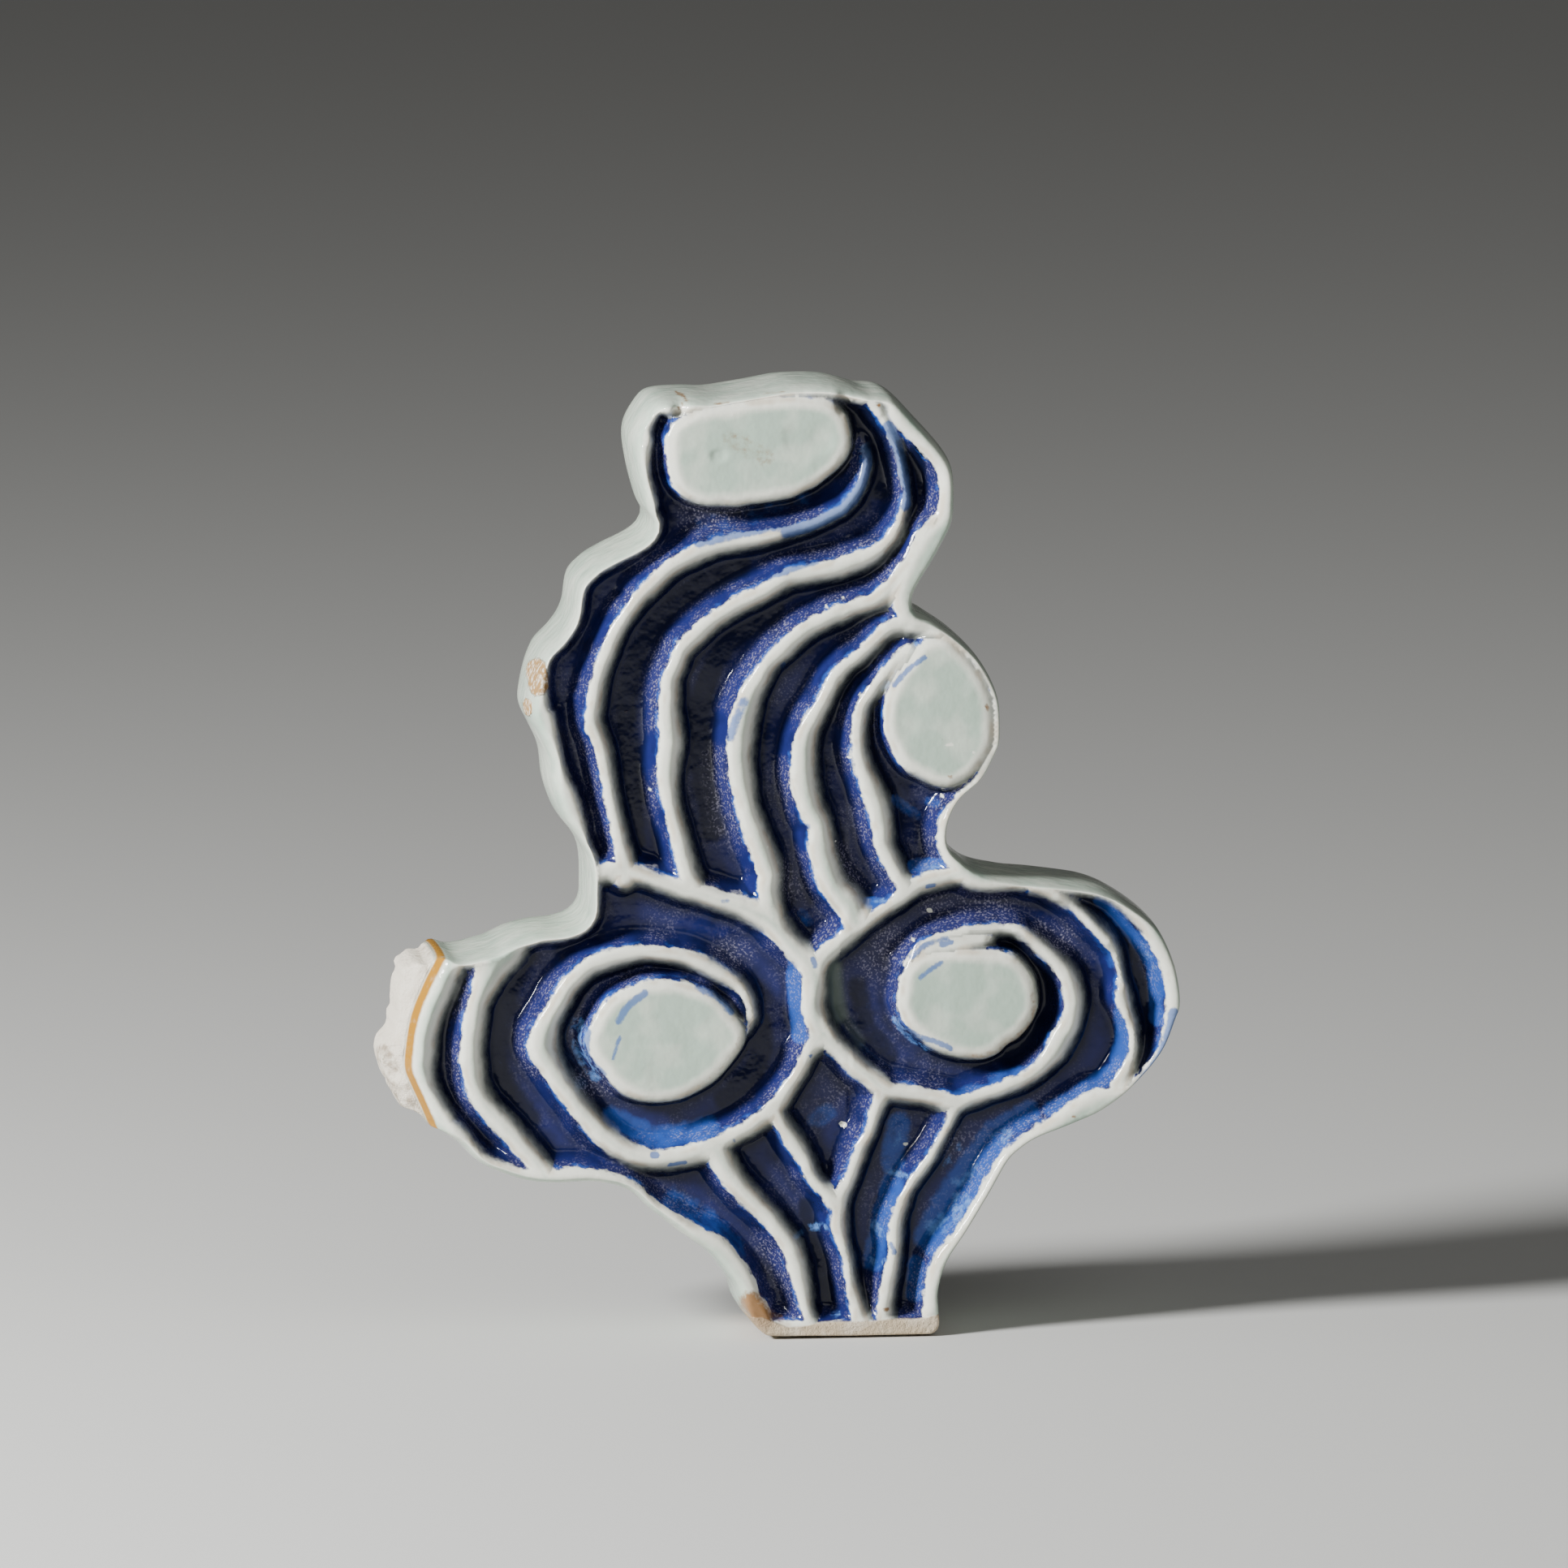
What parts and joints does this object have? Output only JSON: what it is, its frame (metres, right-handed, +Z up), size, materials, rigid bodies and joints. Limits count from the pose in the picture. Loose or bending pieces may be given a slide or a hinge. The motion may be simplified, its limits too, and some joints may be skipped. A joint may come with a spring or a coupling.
{
  "type": "finial",
  "caption": "Flat cloud-scroll ornament of glazed blue and white porcelain, carved with flowing ridges and flat bosses, standing on a narrow cut foot.",
  "frame": {"origin": "middle of the flat cut foot, on its underside", "axes": "+Z up through the ornament; the carved front faces -Y; +X to the right as seen from the front"},
  "size_m": [0.0999, 0.0198, 0.1188],
  "materials": {
    "glazed_porcelain": "glossy pale celadon glaze with cobalt blue in the grooves"
  },
  "bodies": {
    "root": {"finial": "glazed_porcelain"}
  },
  "joints": []
}
